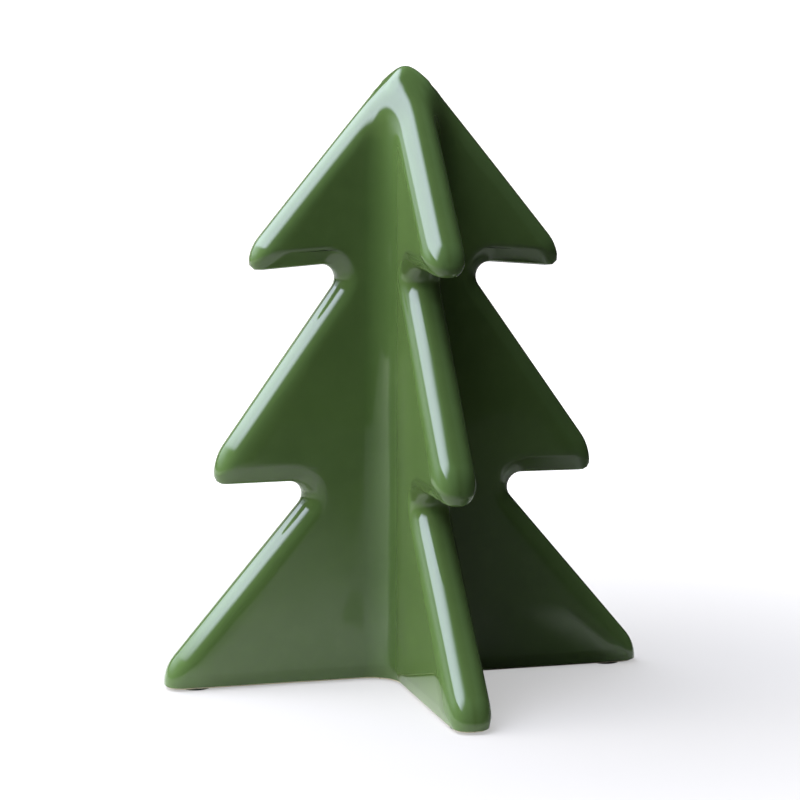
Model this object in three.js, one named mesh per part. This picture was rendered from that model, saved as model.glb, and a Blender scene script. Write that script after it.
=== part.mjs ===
// Decorative tree: four upright fins cross at right angles, and each has three tiers and a flat toe.
// One hollow earthenware casting carries a coat of green glaze and stands on four felt dots.
// Millimetres, +Z up. The felt stands on z = 0 and the trunk line is the Z axis.
import * as THREE from "three";

// Fin outline, seen from the side: reach from the trunk line, height above the ceramic foot. A
// tier's underside rises from its tip to the notch.
const ceramicHeight = 149.6;
const topTipReach = 38.8;
const topTipHeight = 100.7;
const topNoseHeight = 5.2;
const topNotchReach = 14;
const topUndersideRise = 1.9;
const middleTipReach = 47.7;
const middleTipHeight = 49.3;
const middleNoseHeight = 6.2;
const middleNotchReach = 22;
const middleUndersideRise = 0.2;
const toeReach = 60.4;
const toeUndersideHeight = -1.5;
const toeNoseHeight = 6;
const apexRounding = 6.2;
const shoulderRounding = 2.5;
const chinRounding = 2.6;
const notchRadius = 3.4;

// Section of a fin, cut level.
const finThickness = 10.3;
const rimRadius = 4.6;
const valleyRadius = 6.8;

// Casting and glaze.
const glazeThickness = 0.5;
const castingWall = 3.6;
const smallestCavityRim = 1.5;
const baseThickness = 3.6;
const drainDiameter = 9;
const bareFootHeight = 0.4;

// Felt dots under the toes.
const feltThickness = 0.4;
const feltMargin = 0.6;
const feltSetBack = 3;

// How finely the curved skins are divided.
const rimSteps = 3;
const filletSteps = 2;
const faceSteps = 1;
const apexRows = 4;
const tipRows = 6;
const notchRows = 4;
const feltSides = 32;
const footRows = 2;
const arcPieces = 16;
const cornerHub = 6.5;
const footRowGap = 0.5;
const valleyRowGap = 1.4;
const rimReach = 0.8;

const columns = rimSteps + faceSteps + filletSteps;

// Where two casting walls would meet in a fin, the draining slip still leaves a slit.
const slimmestCavity = 0.8;
const cavityInset = Math.min(glazeThickness + castingWall, (finThickness - slimmestCavity) / 2);

const at = (reach, height) => new THREE.Vector2(reach, height);

// A straight side of the outline, walked down and outwards from the apex with the clay on the right hand.
function side(from, to) {
  const normal = at(from.y - to.y, to.x - from.x).normalize();
  return { normal, offset: normal.dot(from) };
}

// Distance of a point from a side, positive on the outer side.
const beyond = (line, x, z) => line.normal.x * x + line.normal.y * z - line.offset;

// The apex keeps its height whatever the rounding: the first slope aims above it.
const topShoulder = at(topTipReach, topTipHeight + topNoseHeight);
const topPitch = (ceramicHeight - topShoulder.y) / (topTipReach - apexRounding / 2);
const apexCorner = at(0, topShoulder.y + topPitch * topTipReach);

// One tier of the outline: its slope, its blunt nose and its underside.
function tier(slopeStart, reach, height, noseHeight, undersideEnd) {
  const shoulder = at(reach, height + noseHeight);
  const chin = at(reach, height);
  return {
    slope: side(slopeStart, shoulder),
    nose: side(shoulder, chin),
    underside: side(chin, undersideEnd),
  };
}

const topNotch = at(topNotchReach, topTipHeight + topUndersideRise);
const middleNotch = at(middleNotchReach, middleTipHeight + middleUndersideRise);
const tiers = [
  tier(apexCorner, topTipReach, topTipHeight, topNoseHeight, topNotch),
  tier(topNotch, middleTipReach, middleTipHeight, middleNoseHeight, middleNotch),
  tier(middleNotch, toeReach, toeUndersideHeight, toeNoseHeight, at(0, toeUndersideHeight)),
];

// Greatest of two distances with a rounded corner, which has the same shape at every depth. Away
// from the corner it is exact.
function roundedMax(a, b, size) {
  return Math.max(a, b) + Math.max(size - Math.abs(a - b), 0) ** 2 / (4 * size);
}

// Least of two distances whose sides meet in a notch, with a round fillet in the notch.
function filletedMin(a, b, cosine, radius) {
  const [fromA, fromB] = [radius - a, radius - b];
  if (fromA < cosine * fromB || fromB < cosine * fromA) return Math.min(a, b);
  const squared = (fromA ** 2 + fromB ** 2 - 2 * cosine * fromA * fromB) / (1 - cosine ** 2);
  return radius - Math.sqrt(squared);
}

// Distance of a point from the outline once it is set in by inset: negative inside. The underside
// of the toe lies below the sole and is not set in.
function outlineDistance(reach, z, inset) {
  const distances = tiers.map(({ slope, nose, underside }, index) => {
    const slopeReach = index === 0 ? Math.hypot(reach, apexRounding / 2) : reach;
    const flank = roundedMax(beyond(slope, slopeReach, z), beyond(nose, reach, z), shoulderRounding);
    const below = beyond(underside, reach, z) + (index === tiers.length - 1 ? 0 : inset);
    return roundedMax(flank + inset, below, chinRounding);
  });
  return distances.reduce((above, below, index) => {
    const cosine = tiers[index - 1].underside.normal.dot(tiers[index].slope.normal);
    return filletedMin(above, below, cosine, notchRadius + inset);
  });
}

// Distance of a plan point from the cross of two fins, with a rolled fillet in each valley.
function crossDistance(x, y) {
  const a = Math.abs(x) - finThickness / 2;
  const b = Math.abs(y) - finThickness / 2;
  const intoFillet = Math.hypot(Math.max(valleyRadius - a, 0), Math.max(valleyRadius - b, 0));
  return Math.max(valleyRadius, Math.min(a, b)) - intoFillet;
}

// Distance of a point from the tree's skin once it is set in by inset: the outline and the cross
// meet in a rolled rim. The reach is the fourth root of x^4 + y^4: along a fin that is hardly more
// than the fin's own reach, and at the trunk line it turns the four outlines into one dome.
function treeDistance(point, inset) {
  const reach = Math.sqrt(Math.hypot(point.x ** 2, point.y ** 2));
  const rim = rimRadiusAt(inset);
  const a = outlineDistance(reach, point.z, inset) + rim;
  const b = crossDistance(point.x, point.y) + inset + rim;
  return Math.min(Math.max(a, b), 0) + Math.hypot(Math.max(a, 0), Math.max(b, 0)) - rim;
}

// Rim radius of a skin. Deep inside, the draining slip still rounds it a little.
function rimRadiusAt(inset) {
  return Math.max(rimRadius - inset, Math.min(smallestCavityRim, finThickness / 2 - inset));
}

// Where two sides meet once both are moved out by distance.
function meet(a, b, distance) {
  const cross = a.normal.cross(b.normal);
  const fromA = a.offset + distance;
  const fromB = b.offset + distance;
  const x = (fromA * b.normal.y - a.normal.y * fromB) / cross;
  return at(x, (a.normal.x * fromB - fromA * b.normal.x) / cross);
}

// Walks a point along the outward direction until it lies on the outline.
function ontoOutline(start, outward, inset) {
  const point = start.clone();
  for (let step = 0; step < 80; step++) {
    point.addScaledVector(outward, -outlineDistance(point.x, point.y, inset));
  }
  return point;
}

// A row of the skin holds its start on the outline, the way out of the clay there and how far in
// it reaches the flat of the fin.
function skinRow(start, outward, inset) {
  const point = ontoOutline(start, outward, inset);
  const flat = ontoOutline(point, outward, inset + rimReach * rimRadiusAt(inset));
  return { point, outward, depth: point.distanceTo(flat) };
}

// Rows that fan out round a corner between two sides, from a hub beyond both by a distance.
function cornerRows(a, b, distance, count, inset) {
  const hub = meet(a, b, distance);
  const turn = Math.atan2(a.normal.cross(b.normal), a.normal.dot(b.normal));
  return Array.from({ length: count }, (_, index) => {
    const angle = a.normal.angle() + (turn * index) / (count - 1);
    return skinRow(hub, at(Math.cos(angle), Math.sin(angle)), inset);
  });
}

// All rows from the apex down to the foot.
function outlineRows(inset, footHeight) {
  const { slope } = tiers[0];
  const mirrored = { normal: at(-slope.normal.x, slope.normal.y), offset: slope.offset };
  const inward = -cornerHub - inset;
  const rows = cornerRows(mirrored, slope, inward, 2 * apexRows - 1, inset).slice(apexRows - 1);
  rows[0].point.x = 0;
  tiers.forEach((tier, index) => {
    const tip = cornerRows(tier.slope, tier.underside, inward, tipRows, inset);
    const midway = rows.at(-1).point.clone().add(tip[0].point).divideScalar(2);
    rows.push(skinRow(midway, tier.slope.normal, inset), ...tip);
    const below = tiers[index + 1];
    if (below) rows.push(...cornerRows(tier.underside, below.slope, notchRadius, notchRows, inset));
  });
  while (rows.at(-1).point.y < footHeight + footRowGap) rows.pop();
  rows.push(skinRow(at(rows.at(-1).point.x, footHeight), at(1, 0), inset));
  return rows;
}

// The way of a row in space: round the rim, along the flat of the fin and round the fillet, up to
// the plane half-way between two fins.
function rowPath(row, inset) {
  const half = finThickness / 2 - inset;
  const fillet = valleyRadius + inset;
  const path = [];
  for (let step = 0; step <= arcPieces; step++) {
    const angle = (step / arcPieces) * (Math.PI / 2);
    const spot = row.point.clone().addScaledVector(row.outward, -row.depth * (1 - Math.cos(angle)));
    path.push(new THREE.Vector3(spot.x, half * Math.sin(angle), spot.y));
  }
  const { x: shoulder, z: height } = path.at(-1);
  const filletStart = Math.asin(THREE.MathUtils.clamp((half + fillet - shoulder) / fillet, 0, 1));
  for (let step = 0; step <= arcPieces; step++) {
    const angle = THREE.MathUtils.lerp(filletStart, Math.PI / 4, step / arcPieces);
    const x = half + fillet - fillet * Math.sin(angle);
    if (x < shoulder) path.push(new THREE.Vector3(x, half + fillet - fillet * Math.cos(angle), height));
  }
  const past = path.findIndex((spot) => spot.y > spot.x + 1e-9);
  if (past < 0) return path;
  const [before, after] = [path[past - 1], path[past]];
  const gap = before.x - before.y;
  return [...path.slice(0, past), before.clone().lerp(after, gap / (gap + after.y - after.x))];
}

// Length of a path of straight pieces.
function lengthOf(path) {
  return path.slice(1).reduce((sum, spot, i) => sum + spot.distanceTo(path[i]), 0);
}

// The point at a distance along a path.
function alongPath(path, distance) {
  for (let i = 1; i < path.length; i++) {
    const piece = path[i].distanceTo(path[i - 1]);
    if (distance <= piece) return path[i - 1].clone().lerp(path[i], distance / piece);
    distance -= piece;
  }
  return path.at(-1).clone();
}

// Moves a point onto the skin, straight up or down the slope of its distance. A level point keeps
// its height.
function settle(point, inset, level) {
  const nudge = 1e-3;
  for (let step = 0; step < 12; step++) {
    const slope = new THREE.Vector3();
    for (const axis of level ? ["x", "y"] : ["x", "y", "z"]) {
      const [ahead, behind] = [point.clone(), point.clone()];
      ahead[axis] += nudge;
      behind[axis] -= nudge;
      slope[axis] = (treeDistance(ahead, inset) - treeDistance(behind, inset)) / (2 * nudge);
    }
    const move = treeDistance(point, inset) / Math.max(slope.lengthSq(), 0.05);
    point.addScaledVector(slope, -THREE.MathUtils.clamp(move, -2, 2));
  }
  return point;
}

// One eighth of a level or rising row, from the rim of a fin to the valley beside it.
function eighthRow(row, inset, level) {
  const path = rowPath(row, inset);
  const total = lengthOf(path);
  const rimArc = lengthOf(path.slice(0, arcPieces + 1));
  const rimStep = Math.min(rimArc / rimSteps, total / columns);
  const left = total - rimStep * rimSteps;
  const filletArc = (Math.PI / 4) * (valleyRadius + inset);
  const filletStep = Math.min(filletArc / filletSteps, left / (faceSteps + filletSteps));
  const faceStep = (left - filletStep * filletSteps) / faceSteps;
  const riseStart = Math.min(rimArc, 0.3 * total);
  let distance = 0;
  return Array.from({ length: columns + 1 }, (_, column) => {
    if (column > 0) {
      const onFace = column > rimSteps && column <= rimSteps + faceSteps;
      distance += column <= rimSteps ? rimStep : onFace ? faceStep : filletStep;
    }
    const point = alongPath(path, distance);
    const share = THREE.MathUtils.clamp((distance - riseStart) / (total - riseStart), 0, 1);
    point.z = level ? row.point.y : THREE.MathUtils.lerp(point.z, row.valleyHeight, share);
    settle(point, inset, level);
    if (column === 0) point.y = 0;
    if (column === columns) point.x = point.y = (point.x + point.y) / 2;
    return point;
  });
}

// Repeats an eighth, from rim to valley, round the trunk line.
function fullRing(eighth) {
  const mirrored = eighth.slice(1, -1).reverse().map(({ x, y, z }) => new THREE.Vector3(y, x, z));
  const quarter = [...eighth, ...mirrored];
  return [0, 1, 2, 3].flatMap((turns) =>
    quarter.map((point) => {
      const turned = point.clone();
      for (let turn = 0; turn < turns; turn++) turned.set(-turned.y, turned.x, turned.z);
      return turned;
    }),
  );
}

// Rings of a skin from the apex down to the foot height. Each row meets the valley no higher than
// the row above, so no two rows cross.
function skinRings(inset, footHeight) {
  const rows = outlineRows(inset, footHeight);
  let lower = footHeight - valleyRowGap;
  for (const row of [...rows].reverse()) {
    const flatHeight = row.point.y - row.depth * row.outward.y;
    row.valleyHeight = Math.max(flatHeight, lower + valleyRowGap);
    lower = row.valleyHeight;
  }
  const apex = settle(new THREE.Vector3(0, 0, rows[0].point.y), inset, false);
  const eighths = rows.slice(1).map((row) => eighthRow(row, inset, row === rows.at(-1)));
  return [[apex], ...eighths.map(fullRing)];
}

// Rings of the bare clay foot, which rounds from the glaze line to the flat sole.
function footRings(glazeLine) {
  const eighth = glazeLine.slice(0, columns + 1);
  return Array.from({ length: footRows }, (_, index) => {
    const angle = ((index + 1) / footRows) * (Math.PI / 2);
    const inset = glazeThickness + bareFootHeight * (1 - Math.cos(angle));
    const points = eighth.map((point) => settle(point.clone(), inset, true));
    points[columns].x = points[columns].y;
    points.forEach((point) => (point.z = bareFootHeight * (1 - Math.sin(angle))));
    return fullRing(points);
  });
}

// A round ring at a height, with a point for each column of the skins.
function roundRing(radius, height) {
  return fullRing(
    Array.from({ length: columns + 1 }, (_, column) => {
      const angle = (column / columns) * (Math.PI / 4);
      return new THREE.Vector3(radius * Math.cos(angle), radius * Math.sin(angle), height);
    }),
  );
}

// Joins rings in order to a closed skin. A ring of one point is a pole, and each four-sided face
// is split along its shorter diagonal, so two pieces that share rings share faces.
function loft(rings) {
  const points = rings.flat();
  const faces = [];
  let start = 0;
  for (let i = 1; i < rings.length; i++) {
    const next = start + rings[i - 1].length;
    const count = Math.max(rings[i - 1].length, rings[i].length);
    const upper = (j) => start + (j % rings[i - 1].length);
    const lower = (j) => next + (j % rings[i].length);
    for (let j = 0; j < count; j++) {
      const [a, b, c, d] = [upper(j), upper(j + 1), lower(j + 1), lower(j)];
      const falling = points[b].distanceTo(points[d]) < points[a].distanceTo(points[c]);
      const pair = falling ? [[a, d, b], [b, d, c]] : [[a, d, c], [a, c, b]];
      faces.push(...pair.filter((face) => new Set(face).size === 3));
    }
    start = next;
  }
  const geometry = new THREE.BufferGeometry().setFromPoints(points);
  geometry.setIndex(faces.flat());
  geometry.computeVertexNormals();
  return geometry;
}

function piece(name, geometry, colour, roughness) {
  const material = new THREE.MeshStandardMaterial({ color: colour, roughness, metalness: 0 });
  const mesh = new THREE.Mesh(geometry, material);
  mesh.name = name;
  return mesh;
}

// The clay casting: a skin under the glaze, a flat sole with a drain hole, and the hollow that the
// poured-out slip leaves.
function ceramicBody() {
  const outside = skinRings(glazeThickness, bareFootHeight);
  const hollow = skinRings(cavityInset, baseThickness);
  const drain = [0, baseThickness].map((height) => roundRing(drainDiameter / 2, height));
  const rings = [...outside, ...footRings(outside.at(-1)), ...drain, ...hollow.reverse()];
  return piece("ceramic_body", loft(rings), 0xe6dcc6, 0.85);
}

// The glaze: a glassy coat over all the clay above the bare foot.
function glazeCoat() {
  const outside = skinRings(0, bareFootHeight);
  const underside = skinRings(glazeThickness, bareFootHeight).reverse();
  return piece("glaze_coat", loft([...outside, ...underside]), 0x41602c, 0.08);
}

// A felt dot stuck under each toe, as wide as the flat sole takes, set back from the toe's end.
function feltDots() {
  const soleEnd = ontoOutline(at(toeReach, bareFootHeight), at(1, 0), glazeThickness).x - bareFootHeight;
  const radius = finThickness / 2 - glazeThickness - bareFootHeight - feltMargin;
  const reach = soleEnd - feltSetBack - radius;
  return ["right", "back", "left", "front"].map((name, index) => {
    const disc = new THREE.CylinderGeometry(radius, radius, feltThickness, feltSides);
    const dot = piece(`felt_dot_${name}`, disc.rotateX(Math.PI / 2), 0x39402f, 0.95);
    const angle = (index * Math.PI) / 2;
    dot.position.set(reach * Math.cos(angle), reach * Math.sin(angle), feltThickness / 2);
    return dot;
  });
}

const casting = new THREE.Group();
casting.position.z = feltThickness;
casting.add(ceramicBody(), glazeCoat());

const tree = new THREE.Group();
tree.add(casting, ...feltDots());

export default tree;
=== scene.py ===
import bpy
import numpy as np
from mathutils import Matrix, Vector


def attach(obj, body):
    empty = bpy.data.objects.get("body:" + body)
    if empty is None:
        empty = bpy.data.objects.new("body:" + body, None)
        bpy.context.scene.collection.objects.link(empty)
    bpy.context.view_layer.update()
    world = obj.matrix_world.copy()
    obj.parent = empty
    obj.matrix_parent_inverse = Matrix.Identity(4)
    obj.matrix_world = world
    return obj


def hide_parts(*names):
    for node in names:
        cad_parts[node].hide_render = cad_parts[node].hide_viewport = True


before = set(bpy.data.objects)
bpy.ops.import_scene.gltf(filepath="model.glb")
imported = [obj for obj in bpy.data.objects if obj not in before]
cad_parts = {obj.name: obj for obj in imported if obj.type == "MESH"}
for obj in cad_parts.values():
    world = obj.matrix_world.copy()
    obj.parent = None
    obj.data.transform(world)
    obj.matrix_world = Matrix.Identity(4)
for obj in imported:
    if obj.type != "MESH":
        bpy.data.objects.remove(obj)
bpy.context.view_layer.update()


# Clay casting. Cream earthenware, slip-cast hollow in one piece in a plaster mould and fired. The
# glaze hides all of it but the bare foot round the sole and the sole with its drain hole, which the
# potter wiped clean with a damp sponge.


class Wire:
    """A socket of a node tree that takes part in sums with other wires and with plain numbers. Each
    sum adds one Math node."""

    def __init__(self, tree, socket):
        self.tree = tree
        self.socket = socket

    def _math(self, operation, *values):
        """A Math node of that operation on two values."""
        node = self.tree.nodes.new("ShaderNodeMath")
        node.operation = operation
        for slot, value in zip(node.inputs, values):
            plug_in(self.tree, slot, value)
        return Wire(self.tree, node.outputs[0])

    def __add__(self, other):
        return self._math("ADD", self, other)

    def __sub__(self, other):
        return self._math("SUBTRACT", self, other)

    def __rsub__(self, other):
        return self._math("SUBTRACT", other, self)

    def __mul__(self, other):
        return self._math("MULTIPLY", self, other)

    __radd__ = __add__
    __rmul__ = __mul__

    def between(self, low, high):
        """0 below low, 1 above high, and a smooth step from one to the other."""
        return add_node(
            self.tree, "ShaderNodeMapRange", {"interpolation_type": "SMOOTHSTEP"},
            Value=self, From_Min=low, From_Max=high,
        )


def plug_in(tree, slot, value):
    """Links a wire to a socket, or writes a plain value there."""
    if isinstance(value, Wire):
        tree.links.new(value.socket, slot)
    else:
        slot.default_value = value


def add_node(tree, kind, settings=None, out=None, **inputs):
    """Adds a node: its settings first, then the values or wires of its sockets, whose names have
    underscores for spaces. Gives the output of that name, or else the first one in use."""
    node = tree.nodes.new(kind)
    for name, value in (settings or {}).items():
        setattr(node, name, value)
    for name, value in inputs.items():
        label = name.replace("_", " ")
        slot = next(slot for slot in node.inputs if slot.enabled and slot.name == label)
        plug_in(tree, slot, value)
    output = next(slot for slot in node.outputs if slot.enabled and out in (None, slot.name))
    return Wire(tree, output)


class Finish:
    """One material: its node tree, its Principled shader and the nodes that a finish is built of."""

    def __init__(self, name, **even):
        self.material = bpy.data.materials.new(name)
        self.material.use_nodes = True
        self.tree = self.material.node_tree
        self.shader = self.tree.nodes["Principled BSDF"]
        self.feed(**even)

    def feed(self, **sockets):
        """Gives sockets of the shader their plain values or wires."""
        for name, value in sockets.items():
            plug_in(self.tree, self.shader.inputs[name.replace("_", " ")], value)

    def node(self, kind, settings=None, out=None, **inputs):
        """A node of this material, made by add_node."""
        return add_node(self.tree, kind, settings, out, **inputs)

    def place(self):
        """Where on the object a point is, in metres."""
        return self.node("ShaderNodeTexCoord", out="Object")

    def grain(self, size, detail=2.0, rough=0.5, stretch=(1, 1, 1)):
        """Cloudy noise from 0 to 1 whose blotches are about size metres across."""
        scaled = self.node(
            "ShaderNodeMapping", Vector=self.place(), Scale=tuple(s / size for s in stretch)
        )
        return self.node(
            "ShaderNodeTexNoise", Vector=scaled, Scale=1.0, Detail=detail, Roughness=rough
        )

    def blend(self, share, low, high):
        """Mix of two colours: low where share is 0 and high where it is 1."""
        return self.node("ShaderNodeMix", {"data_type": "RGBA"}, Factor=share, A=low, B=high)

    def raised(self, height, depth):
        """Bump of a height from 0 to 1 that is depth metres deep."""
        return self.node("ShaderNodeBump", Height=height, Distance=depth, Strength=1.0)


biscuit = Finish("biscuit", Specular_IOR_Level=0.3)
clay_specks = biscuit.grain(0.0009, detail=3)
clay_patches = biscuit.grain(0.012, detail=2)
sponge_marks = biscuit.grain(0.003, detail=4, rough=0.6, stretch=(1, 0.25, 1))
cream = biscuit.blend(clay_patches, (0.70, 0.61, 0.45, 1), (0.82, 0.74, 0.59, 1))
biscuit.feed(
    Base_Color=biscuit.blend(clay_specks.between(0.62, 0.75), cream, (0.50, 0.38, 0.24, 1)),
    Roughness=clay_patches * 0.15 + 0.75,
    Normal=biscuit.raised(clay_specks * 0.4 + sponge_marks * 0.6, 0.00012),
)
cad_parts["ceramic_body"].material_slots[0].material = biscuit.material


# Glaze coat. Glassy leaf-green glaze, half a millimetre thick, dipped and fired over all the clay
# above the foot. It breaks thinner and paler over the rims, pools darker in the valleys and notches,
# and ends at the foot in a rounded bead.

# Form, in millimetres. Points of a fin's outline are its reach from the trunk line and its height
# above the clay foot.
clay_height = 149.6
top_tip, top_nose = np.array([38.8, 100.7]), 5.2
middle_tip, middle_nose = np.array([47.7, 49.3]), 6.2
toe, toe_nose = np.array([60.4, -1.5]), 6.0
top_underside_rise, middle_underside_rise = 1.9, 0.2
top_notch = np.array([14.0, top_tip[1] + top_underside_rise])
middle_notch = np.array([22.0, middle_tip[1] + middle_underside_rise])
apex_rounding, shoulder_rounding, chin_rounding = 6.2, 2.5, 2.6
notch_radius = 3.4
fin_thickness, rim_radius, valley_radius = 10.3, 4.6, 6.8
glaze_thickness, bare_foot_height, felt_thickness = 0.5, 0.4, 0.4
bead_radius = 0.25
skin_foot = bare_foot_height + bead_radius

# How finely the skin is divided, where its rows run, in millimetres, and how far and how often its
# points are moved to reach it.
fan_rows, rim_steps, face_steps, fillet_steps, bead_steps = 10, 12, 6, 8, 8
arc_points = 33
corner_hub, rim_reach = 6.5, 0.8
foot_row_gap, valley_row_gap = 0.3, 0.35
valley_packing, unbent_share = 0.9, 0.3
walking_rounds, settling_rounds = 80, 14
longest_move, least_slope = 2, 0.05


def side(start, end):
    """A straight side of a fin's outline, walked down and outwards: its outward normal, and how far
    along that normal it lies from the foot of the trunk line."""
    along = end - start
    normal = np.array([-along[1], along[0]]) / np.hypot(*along)
    return normal, normal @ start


def tier(slope_start, chin, nose_height, underside_end):
    """Slope, blunt nose and underside of one tier."""
    shoulder = chin + (0, nose_height)
    return side(slope_start, shoulder), side(shoulder, chin), side(chin, underside_end)


top_shoulder = top_tip + (0, top_nose)
top_pitch = (clay_height - top_shoulder[1]) / (top_shoulder[0] - apex_rounding / 2)
apex_corner = np.array([0.0, top_shoulder[1] + top_pitch * top_shoulder[0]])
tiers = [
    tier(apex_corner, top_tip, top_nose, top_notch),
    tier(top_notch, middle_tip, middle_nose, middle_notch),
    tier(middle_notch, toe, toe_nose, toe * (0, 1)),
]
toe_level = len(tiers) - 1


def rounded_max(a, b, size):
    """The greater of two distances, raised near their tie by (size - |a - b|)^2 / 4 size."""
    return np.maximum(a, b) + np.maximum(size - np.abs(a - b), 0) ** 2 / (4 * size)


def filleted_min(a, b, cosine, radius):
    """The less of two distances, but within a round fillet of that radius in the notch where their
    sides meet at an angle of that cosine: radius less the distance from the fillet's centre."""
    p, q = radius - a, radius - b
    from_centre = np.sqrt(np.maximum(p**2 + q**2 - 2 * cosine * p * q, 0) / (1 - cosine**2))
    past_fillet = (p < cosine * q) | (q < cosine * p)
    return np.where(past_fillet, np.minimum(a, b), radius - from_centre)


def outline_distance(reach, height, inset):
    """Distance of a point from a fin's outline set in by inset, negative inside: the greatest of a
    tier's three sides, rounded at its two corners, and the least of the tiers, with round notches."""

    def beyond(line, reach):
        """How far the point lies beyond a side, along the side's outward normal."""
        return line[0][0] * reach + line[0][1] * height - line[1]

    tier_distances = []
    for level, (slope, nose, underside) in enumerate(tiers):
        slope_reach = np.hypot(reach, apex_rounding / 2) if level == 0 else reach
        flank = rounded_max(beyond(slope, slope_reach), beyond(nose, reach), shoulder_rounding)
        below = beyond(underside, reach) + (inset if level < toe_level else 0)
        tier_distances.append(rounded_max(flank + inset, below, chin_rounding))
    whole = tier_distances[0]
    for above, lower, distance in zip(tiers, tiers[1:], tier_distances[1:]):
        whole = filleted_min(whole, distance, above[2][0] @ lower[0][0], notch_radius + inset)
    return whole


def tree_distance(spot, inset):
    """Distance of points from the skin set in by inset. In plan it is a cross of two fins with a
    rolled fillet in each valley, and cross and outline meet in a rolled rim. The reach is the fourth
    root of x^4 + y^4, which joins the four fins in one dome at the apex."""
    x, y, height = np.moveaxis(np.asarray(spot), -1, 0)
    a, b = np.abs(x) - fin_thickness / 2, np.abs(y) - fin_thickness / 2
    into_fillet = np.hypot(np.maximum(valley_radius - a, 0), np.maximum(valley_radius - b, 0))
    cross = np.maximum(valley_radius, np.minimum(a, b)) - into_fillet
    rim = rim_radius - inset
    p = outline_distance((x**4 + y**4) ** 0.25, height, inset) + rim
    q = cross + inset + rim
    return np.minimum(np.maximum(p, q), 0) + np.hypot(np.maximum(p, 0), np.maximum(q, 0)) - rim


def steepest(spot, inset, reach=1e-3):
    """Direction and steepness in which tree_distance grows, by central differences over reach."""
    nudge = reach * np.eye(3)
    return np.stack(
        [tree_distance(spot + n, inset) - tree_distance(spot - n, inset) for n in nudge], -1
    ) / (2 * reach)


def settle(spot, inset, level=False):
    """Moves points onto the skin along its steepest direction; level ones keep their height."""
    for _ in range(settling_rounds):
        slope = steepest(spot, inset) * (1, 1, 0 if level else 1)
        move = tree_distance(spot, inset) / np.maximum((slope**2).sum(-1), least_slope)
        spot = spot - slope * np.clip(move, -longest_move, longest_move)[..., None]
    return spot


def onto_outline(points, outward, inset):
    """Walks points of the side view along the outward direction until they lie on the outline."""
    for _ in range(walking_rounds):
        points = points - outward * outline_distance(points[:, 0], points[:, 1], inset)[:, None]
    return points


def corner_fan(before, after, distance, count, inset):
    """Rows that fan out round the corner of two sides, from a hub beyond both by distance."""
    (n, n_offset), (m, m_offset) = before, after
    hub = np.linalg.solve([n, m], [n_offset + distance, m_offset + distance])
    start, turn = np.arctan2(n[1], n[0]), np.arctan2(n[0] * m[1] - n[1] * m[0], n @ m)
    angle = start + turn * np.linspace(0, 1, count)
    outward = np.stack([np.cos(angle), np.sin(angle)], 1)
    return onto_outline(np.repeat(hub[None], count, 0), outward, inset), outward


def outline_rows(inset):
    """Starts and outward directions of the skin's rows, from the apex down to the foot: a fan round
    the apex, and for each tier rows along its slope, round its tip and round the notch below."""
    slope = tiers[0][0]
    mirrored_slope = slope[0] * (-1, 1), slope[1]
    hub_distance = -corner_hub - inset
    dome, dome_outward = corner_fan(mirrored_slope, slope, hub_distance, 2 * fan_rows - 1, inset)
    starts, outwards = [dome[fan_rows - 1:]], [dome_outward[fan_rows - 1:]]
    starts[0][0, 0] = 0
    for level, (slope, _, underside) in enumerate(tiers):
        tip, tip_outward = corner_fan(slope, underside, hub_distance, 2 * fan_rows, inset)
        share = np.linspace(0, 1, fan_rows + 2)[1:-1, None]
        between = starts[-1][-1] * (1 - share) + tip[0] * share
        along_slope = np.repeat(slope[0][None], fan_rows, 0)
        starts += [onto_outline(between, along_slope, inset), tip]
        outwards += [along_slope, tip_outward]
        if level < toe_level:
            slope_below = tiers[level + 1][0]
            notch, notch_outward = corner_fan(underside, slope_below, notch_radius, fan_rows, inset)
            starts.append(notch)
            outwards.append(notch_outward)
    starts, outwards = np.concatenate(starts), np.concatenate(outwards)
    last = np.flatnonzero(starts[:, 1] > skin_foot + foot_row_gap)[-1] + 1
    foot_out = np.array([[1.0, 0.0]])
    foot = onto_outline(np.array([[starts[last - 1, 0], skin_foot]]), foot_out, inset)
    return np.vstack([starts[:last], foot]), np.vstack([outwards[:last], foot_out])


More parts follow.
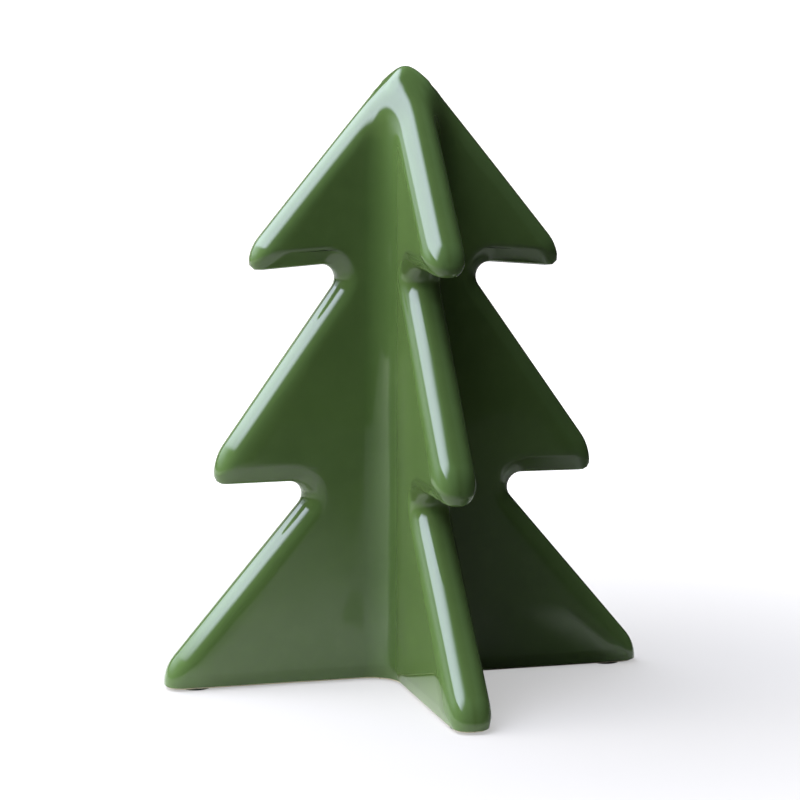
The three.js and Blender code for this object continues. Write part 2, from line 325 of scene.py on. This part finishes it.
def skin_grid(inset):
    """One eighth of the skin, rows from the apex to the foot by columns from a fin's rim to the
    valley: each row goes a quarter turn round the rim, along the fin's flat and round the fillet,
    is shared out by its length and settled on the skin."""
    starts, outwards = outline_rows(inset)
    half, fillet, rim = fin_thickness / 2 - inset, valley_radius + inset, rim_radius - inset
    flats = onto_outline(starts, outwards, inset + rim_reach * rim)
    depth = np.hypot(*(starts - flats).T)[:, None]
    turn = np.linspace(0, np.pi / 2, arc_points)
    round_rim = starts[:, None] - (outwards * depth)[:, None] * (1 - np.cos(turn))[:, None]
    width = np.broadcast_to(half * np.sin(turn), round_rim.shape[:2])
    paths = np.stack([round_rim[..., 0], width, round_rim[..., 1]], -1)
    flat_reach = paths[:, -1:, 0]
    first = np.arcsin(np.clip((half + fillet - flat_reach) / fillet, 0, 1))
    swing = first + (np.pi / 4 - first) * np.linspace(0, 1, arc_points)
    round_fillet = np.stack(
        [
            np.minimum(half + fillet - fillet * np.sin(swing), flat_reach),
            half + fillet - fillet * np.cos(swing),
            np.broadcast_to(paths[:, -1:, 2], swing.shape),
        ],
        -1,
    )
    paths = np.concatenate([paths, round_fillet], 1)

    # In the valley the rows come down to heights of their own, kept apart so that no two meet.
    flat_height = starts[:, 1] - depth[:, 0] * outwards[:, 1]
    row_gap = min(valley_packing * (flat_height[0] - skin_foot) / len(starts), valley_row_gap)
    from_foot = np.arange(len(starts))[::-1] * row_gap
    valley_height = np.maximum.accumulate((flat_height - from_foot)[::-1])[::-1] + from_foot
    valley_height[-1] = skin_foot

    columns = rim_steps + face_steps + fillet_steps
    grid = np.zeros((len(starts), columns + 1, 3))
    for row, path in enumerate(paths):
        past_valley = np.flatnonzero(path[:, 1] > path[:, 0] + 1e-9)
        if row and len(past_valley):
            before, after = path[past_valley[0] - 1], path[past_valley[0]]
            to_valley = before[0] - before[1]
            crossing = before + (after - before) * to_valley / (to_valley + after[1] - after[0])
            path = np.vstack([path[: past_valley[0]], crossing])
        length = np.r_[0, np.cumsum(np.linalg.norm(np.diff(path, axis=0), axis=1))]
        total, rim_arc = length[-1], length[min(arc_points - 1, len(length) - 1)]
        rim_step = min(rim_arc / rim_steps, total / columns)
        left = total - rim_step * rim_steps
        fillet_step = min(np.pi / 4 * fillet / fillet_steps, left / (face_steps + fillet_steps))
        face_step = (left - fillet_step * fillet_steps) / face_steps
        steps = [rim_step] * rim_steps + [face_step] * face_steps + [fillet_step] * fillet_steps
        reached = np.r_[0, np.cumsum(steps)]
        point = np.stack([np.interp(reached, length, path[:, axis]) for axis in range(3)], 1)
        unbent = min(rim_arc, unbent_share * total)
        share = np.clip((reached - unbent) / max(total - unbent, 1e-9), 0, 1)
        point[:, 2] = point[:, 2] * (1 - share) + valley_height[row] * share
        grid[row] = point
    grid[0] = (0, 0, starts[0, 1])
    grid[:-1] = settle(grid[:-1], inset)
    grid[-1, :, 2] = skin_foot
    grid[-1] = settle(grid[-1], inset, level=True)
    grid[:, 0, 1] = 0
    grid[:, -1, :2] = grid[:, -1, :2].mean(-1, keepdims=True)
    grid[0, :, :2] = 0
    return grid


def all_round(grid):
    """Mirrors an eighth in the valley's plane and turns the quarter to all four fins."""
    quarter = np.concatenate([grid, grid[:, -2:0:-1][..., [1, 0, 2]]], 1)
    turned = [quarter]
    for _ in range(3):
        turned.append(turned[-1][..., [1, 0, 2]] * (-1, 1, 1))
    return np.concatenate(turned, 1)


def coat_of_rings(name, rings):
    """Mesh of rings, each joined to the next. The first and last rings are drawn to one point."""
    count, around, _ = rings.shape
    body = rings[1:-1].reshape(-1, 3)
    vertices = np.vstack([rings[:1, 0], body, rings[-1:, 0]])
    index = np.arange(len(body)).reshape(count - 2, around) + 1
    ahead = np.roll(index, -1, 1)
    quads = np.stack([index[:-1], index[1:], ahead[1:], ahead[:-1]], -1).reshape(-1, 4)
    first_fan = np.stack([np.zeros(around, int), index[0], ahead[0]], -1)
    last_fan = np.stack([np.full(around, len(vertices) - 1), ahead[-1], index[-1]], -1)
    mesh = bpy.data.meshes.new(name)
    mesh.from_pydata(vertices.tolist(), [], quads.tolist() + first_fan.tolist() + last_fan.tolist())
    mesh.polygons.foreach_set("use_smooth", np.ones(len(mesh.polygons), bool))
    mesh.validate()
    piece = bpy.data.objects.new(name, mesh)
    bpy.context.scene.collection.objects.link(piece)
    return piece


outer_skin = all_round(skin_grid(0.0))
inner_skin = all_round(skin_grid(glaze_thickness))
bead = []
for angle in np.linspace(0, np.pi, bead_steps + 1)[1:-1]:
    inset = bead_radius * (1 - np.cos(angle))
    ring = settle(outer_skin[-1] * (1, 1, 0) + (0, 0, skin_foot), inset, level=True)
    ring[:, 2] -= bead_radius * np.sin(angle)
    bead.append(ring)
coat_rings = np.concatenate([outer_skin, np.array(bead), inner_skin[::-1]]) + (0, 0, felt_thickness)
glaze_coat = coat_of_rings("glaze", coat_rings * 0.001)

# The coat is shaded by the slope of tree_distance over this reach, which evens out its small steps.
# The bead and the inner skin keep the mesh's own normals.
shading_reach, least_steepness = 1.4, 0.3
spots = np.empty(len(glaze_coat.data.vertices) * 3)
glaze_coat.data.vertices.foreach_get("co", spots)
spots = spots.reshape(-1, 3) * 1000 - (0, 0, felt_thickness)
normals = np.array([n.vector for n in glaze_coat.data.vertex_normals])
facing = steepest(spots, 0.0, shading_reach)
steepness = np.linalg.norm(facing, axis=1, keepdims=True)
facing = np.where(steepness > least_steepness, facing / np.maximum(steepness, 1e-6), normals)


def smooth_step(value, low, high):
    """0 below low, 1 above high, and a smooth rise from one to the other."""
    share = np.clip((value - low) / (high - low), 0, 1)
    return share**2 * (3 - 2 * share)


# Under the tiers the glaze has run down and filled the rims out, which leaves them nearly flat
# there, at one slant. Only the coat's shading normals take that slant, and its mesh keeps the round
# rims. Tilts are in degrees below level, and the foot stays round.
underside_slant = 30
slanting_starts, slanting_ends = (2, 9), (45, 80)
round_foot, least_level_part = 3, 0.05
tilt = np.degrees(np.arcsin(np.clip(-facing[:, 2], 0, 1)))
flatness = smooth_step(tilt, *slanting_starts) * (1 - smooth_step(tilt, *slanting_ends))
flatness = flatness * (spots[:, 2] > round_foot)
slant = np.radians(tilt + (underside_slant - tilt) * flatness)
level_part = np.linalg.norm(facing[:, :2], axis=1)
changed = (flatness > 0) & (level_part > least_level_part)
facing[changed, :2] *= (np.cos(slant[changed]) / level_part[changed])[:, None]
facing[changed, 2] = -np.sin(slant[changed])
facing[0] = (0, 0, 1)
foot_ring_start = 1 + (len(outer_skin) - 2) * outer_skin.shape[1]
facing[foot_ring_start:] = normals[foot_ring_start:]
glaze_coat.data.normals_split_custom_set_from_vertices(facing)

# How sharply the skin bends out, per millimetre: rims positive, valleys and notches negative.
bend_reach = 0.8
nudges = bend_reach * np.eye(3)
bend = sum(tree_distance(spots + n, 0.0) + tree_distance(spots - n, 0.0) for n in nudges)
bend = (bend - 6 * tree_distance(spots, 0.0)) / bend_reach**2
bend_layer = glaze_coat.data.attributes.new("bend", "FLOAT", "POINT")
bend_layer.data.foreach_set("value", bend.astype(np.float32))

glaze = Finish("glaze", IOR=1.52)
bend_out = glaze.node("ShaderNodeAttribute", {"attribute_name": "bend"}, out="Fac")
cloud = glaze.grain(0.022, detail=2)
mottle = glaze.grain(0.004, detail=3, rough=0.6)
waves = glaze.grain(0.020, detail=1)
deep = glaze.blend(cloud.between(0.3, 0.7), (0.058, 0.097, 0.025, 1), (0.067, 0.110, 0.029, 1))
body_green = glaze.blend(mottle.between(0.4, 0.75) * 0.4, deep, (0.073, 0.117, 0.032, 1))
over_rims = glaze.blend(bend_out.between(0.10, 0.30) * 0.35, body_green, (0.098, 0.165, 0.052, 1))
pooled = (0 - bend_out).between(0.02, 0.2)
green = glaze.blend(pooled * 0.3, over_rims, (0.040, 0.082, 0.018, 1))


def pinhole_cells(out):
    """Cells about 9 mm across: how far a point is from the middle of its cell, in cells, or a colour
    drawn by lot for each cell."""
    cells_per_metre = 110.0
    return glaze.node(
        "ShaderNodeTexVoronoi", {"feature": "F1"}, out,
        Vector=glaze.place(), Scale=cells_per_metre, Randomness=1.0,
    )


from_middle = pinhole_cells("Distance")
lot = pinhole_cells("Color")
pinhole = (1 - from_middle.between(0.010, 0.028)) * lot.between(0.80, 0.82)
glaze.feed(
    Base_Color=glaze.blend(pinhole * 0.7, green, (0.02, 0.025, 0.01, 1)),
    Roughness=mottle * 0.02 + 0.02,
    Normal=glaze.raised(waves * 0.9 + mottle * 0.02 - pinhole * 0.3, 0.00018),
)
glaze_coat.data.materials.append(glaze.material)
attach(glaze_coat, "root")
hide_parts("glaze_coat")


# Felt dots. Dark olive pressed felt, punched round and stuck under the four toes, so that the fired
# clay scratches no table.
felt = Finish("felt", Specular_IOR_Level=0.1, Sheen_Weight=0.4, Sheen_Roughness=0.6)
tufts = felt.grain(0.0006, detail=4, rough=0.7)
fibres = felt.grain(0.0018, detail=3, rough=0.65, stretch=(1, 3, 1))
olive = felt.blend(tufts.between(0.35, 0.65), (0.028, 0.036, 0.020, 1), (0.060, 0.070, 0.045, 1))
felt.feed(
    Base_Color=felt.blend(fibres.between(0.6, 0.75) * 0.4, olive, (0.11, 0.12, 0.09, 1)),
    Roughness=tufts * 0.1 + 0.88,
    Normal=felt.raised(tufts * 0.6 + fibres * 0.4, 0.00015),
)
for fin in ("front", "right", "back", "left"):
    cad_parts[f"felt_dot_{fin}"].material_slots[0].material = felt.material


# Paper. A pale sheet that lies flat under the tree, and a low card that stands behind it. The camera
# sees them white, with the tree's shadow. For the glaze's mirror and for light they throw back onto
# the tree, their colour carries painted light and shade: painted bright round the tree and on the
# left, painted dark on the right, with one small painted bright patch at the right toe.
paper_shade = 0.25
paper = Finish("paper", Roughness=0.7, Specular_IOR_Level=0.1)
seen_by_camera = paper.node("ShaderNodeLightPath", out="Is Camera Ray")
place_on_paper = paper.place()
from_tree = paper.node("ShaderNodeVectorMath", {"operation": "LENGTH"}, Vector=place_on_paper)
rightwards = paper.node("ShaderNodeSeparateXYZ", out="X", Vector=place_on_paper)
forwards = 0 - paper.node("ShaderNodeSeparateXYZ", out="Y", Vector=place_on_paper)
# Painted light and shade in the paper's colour: brighter near the tree and on the left, darker to the
# front and the right.
painted_light_on_floor = (1.28 - forwards.between(0.15, 0.42) * 0.5) * (1 - rightwards.between(0.0, 0.05) * 0.77)
# A bright patch painted on the paper round the tree's foot, left of the middle.
painted_bright_round_foot = (1 - rightwards.between(0.012, 0.03)) * (1 - from_tree.between(0.04, 0.15))
# A small bright patch painted on the paper at the right toe.
painted_bright_at_right_toe = rightwards.between(0.048, 0.062) * (1 - rightwards.between(0.064, 0.10))
painted_bright_at_right_toe = painted_bright_at_right_toe * (1 - forwards.between(0.045, 0.085)) * 1.9
# For every ray but the camera's, the paper's colour carries this painted light and shade.
painted_light_and_shade = painted_light_on_floor + painted_bright_round_foot + painted_bright_at_right_toe
shade = (seen_by_camera + (1 - seen_by_camera) * painted_light_and_shade) * paper_shade

# To the camera the paper also glows, more so away from the tree, where it fades into the white.
paper.feed(
    Base_Color=paper.node(
        "ShaderNodeCombineColor", Red=shade, Green=shade * (1 - seen_by_camera * 0.07),
        Blue=shade * (seen_by_camera * 0.05 + 0.76),
    ),
    Emission_Color=from_tree.between(0.08, 0.35) * 0.55 + 0.45,
    Emission_Strength=seen_by_camera,
)


def flat_sheet(name, start, along, across):
    """A flat grid: start + u along + v across, for u and v from 0 to 1."""
    points = 5
    u, v = np.meshgrid(np.linspace(0, 1, points), np.linspace(0, 1, points), indexing="ij")
    grid = np.array(start) + u[..., None] * np.array(along) + v[..., None] * np.array(across)
    index = np.arange(points**2).reshape(points, points)
    quads = np.stack([index[:-1, :-1], index[1:, :-1], index[1:, 1:], index[:-1, 1:]], -1)
    mesh = bpy.data.meshes.new(name)
    mesh.from_pydata(grid.reshape(-1, 3).tolist(), [], quads.reshape(-1, 4).tolist())
    sheet = bpy.data.objects.new(name, mesh)
    bpy.context.scene.collection.objects.link(sheet)
    sheet.data.materials.append(paper.material)


flat_sheet("paper_sheet", (-0.75, -0.46, 0), (1.3, 0, 0), (0, 1.2, 0))
flat_sheet("standing_card", (-0.20, 0.70, 0), (0.85, 0, 0), (0, 0, 0.3))


# Window. One large window of bluish daylight, high on the left and running on behind the tree. Its
# clear glass fades backwards, and a dim haze lies below the sill and behind. Its plane faces the
# tree at 45 degrees, and rise and run are places on it in window distances.
window_distance, window_aim = 0.9, (0, 0, 0.075)
window_foot, window_head = -1.05, 1.35
window_front, window_back = -1.6, 2.3
window_glow, haze_share = 10.1, 0.208
window_tint, unlit = (0.80, 0.865, 1.09, 1), (0, 0, 0, 1)

towards_window = np.array((-1, 0, 1)) / np.sqrt(2)
up_window = np.array((1, 0, 1)) / np.sqrt(2)
along_window = np.array((0, 1, 0))
places = np.array(
    [
        (window_foot, window_front), (window_foot, window_back),
        (window_head, window_back), (window_head, window_front),
    ]
)
corners = towards_window + places @ np.stack([up_window, along_window])
window_mesh = bpy.data.meshes.new("window")
window_mesh.from_pydata((corners * window_distance + window_aim).tolist(), [], [(0, 1, 2, 3)])
window_mesh.uv_layers.new(name="window").data.foreach_set("uv", places.ravel())

pane = Finish("window", Base_Color=unlit, Specular_IOR_Level=0.0, Emission_Strength=window_glow)
place_on_pane = pane.node("ShaderNodeUVMap", {"uv_map": "window"})
rise = pane.node("ShaderNodeSeparateXYZ", out="X", Vector=place_on_pane)
run = pane.node("ShaderNodeSeparateXYZ", out="Y", Vector=place_on_pane)
above_sill = rise.between(-0.30, -0.18)
clear_glass = above_sill * run.between(-0.99, -0.30) * (1 - run.between(-0.57, 2.15))
haze = rise.between(-1.1, -0.2) * run.between(-0.30, 0.45) * (1 - run.between(1.6, 2.3))
cut_corner = rise.between(0.30, 0.75) * (1 - run.between(-0.80, -0.50))
below_top = (1 - rise.between(0.68, 1.22)) * (1 - cut_corner)
dim = haze * haze_share
daylight = (dim + clear_glass * (1 - dim)) * below_top
pane.feed(Emission_Color=pane.blend(daylight, unlit, window_tint))
window_mesh.materials.append(pane.material)
window = bpy.data.objects.new("window", window_mesh)
bpy.context.scene.collection.objects.link(window)
window.visible_camera = False


# Room. White to the camera and through glass. The glaze mirrors it almost dark, as a room is beside
# its window, and it adds hardly any light of its own.
room_glow = 0.01
room = bpy.data.worlds.new("room")
bpy.context.scene.world = room
room.use_nodes = True


def ray(kind):
    """1 for a ray of that kind and 0 for any other."""
    return add_node(room.node_tree, "ShaderNodeLightPath", out=kind)


seen = ray("Is Camera Ray") + ray("Is Transmission Ray")
whiteness = seen * (1 - room_glow) + ray("Is Glossy Ray") * room_glow + room_glow
background = room.node_tree.nodes["Background"]
background.inputs["Color"].default_value = (1, 1, 1, 1)
plug_in(room.node_tree, background.inputs["Strength"], whiteness)


# Wall glows. Daylight that the room's walls throw back: soft on the left wall, and weak on the right
# one behind the tree. They light the faces that the window leaves dark, and the glaze mirrors none.
tree_middle = Vector((0, 0, 0.07))
for name, place, width, power in (
    ("glow_from_left_wall", (-0.85, 0.12, 0.40), 0.6, 7.6),
    ("glow_from_right_wall", (0.75, 0.35, 0.45), 0.5, 1.1),
):
    wall = bpy.data.objects.new(name, bpy.data.lights.new(name, "AREA"))
    wall.data.size, wall.data.energy = width, power
    wall.visible_glossy = False
    wall.location = place
    wall.rotation_euler = (Vector(place) - tree_middle).to_track_quat("Z", "Y").to_euler()
    bpy.context.scene.collection.objects.link(wall)


# Camera. A long lens, a little above the tree's middle, that looks at the fin in front from its
# left. Its place, aim and lens were fitted to the tree's silhouette in the photograph.
camera_azimuth, camera_elevation, camera_roll = np.radians((-15.191, 7.340, 0.056))
camera_distance, aim_height, aim_right = 0.58703, 0.06768, -0.001428
photo_pixels, focal_pixels = 800, 2389.54
centre_right, centre_down = -0.813, 4.109

backward = np.array(
    [
        np.sin(camera_azimuth) * np.cos(camera_elevation),
        -np.cos(camera_azimuth) * np.cos(camera_elevation),
        np.sin(camera_elevation),
    ]
)
rightward = np.cross(-backward, (0, 0, 1))
rightward /= np.linalg.norm(rightward)
upward = np.cross(backward, rightward)
turned_right = rightward * np.cos(camera_roll) + upward * np.sin(camera_roll)
turned_up = upward * np.cos(camera_roll) - rightward * np.sin(camera_roll)
stand = np.array((0, 0, aim_height)) + rightward * aim_right + backward * camera_distance
camera = bpy.data.objects.new("camera", bpy.data.cameras.new("camera"))
bpy.context.scene.collection.objects.link(camera)
camera.matrix_world = Matrix(
    [[*row, place] for row, place in zip(np.stack([turned_right, turned_up, backward], 1), stand)]
    + [[0, 0, 0, 1]]
)
camera.data.sensor_width = 36
camera.data.lens = focal_pixels / photo_pixels * camera.data.sensor_width
camera.data.shift_x = -centre_right / photo_pixels
camera.data.shift_y = centre_down / photo_pixels
camera.data.clip_start, camera.data.clip_end = 0.01, 20
bpy.context.scene.camera = camera
bpy.context.scene.view_settings.view_transform = "Standard"
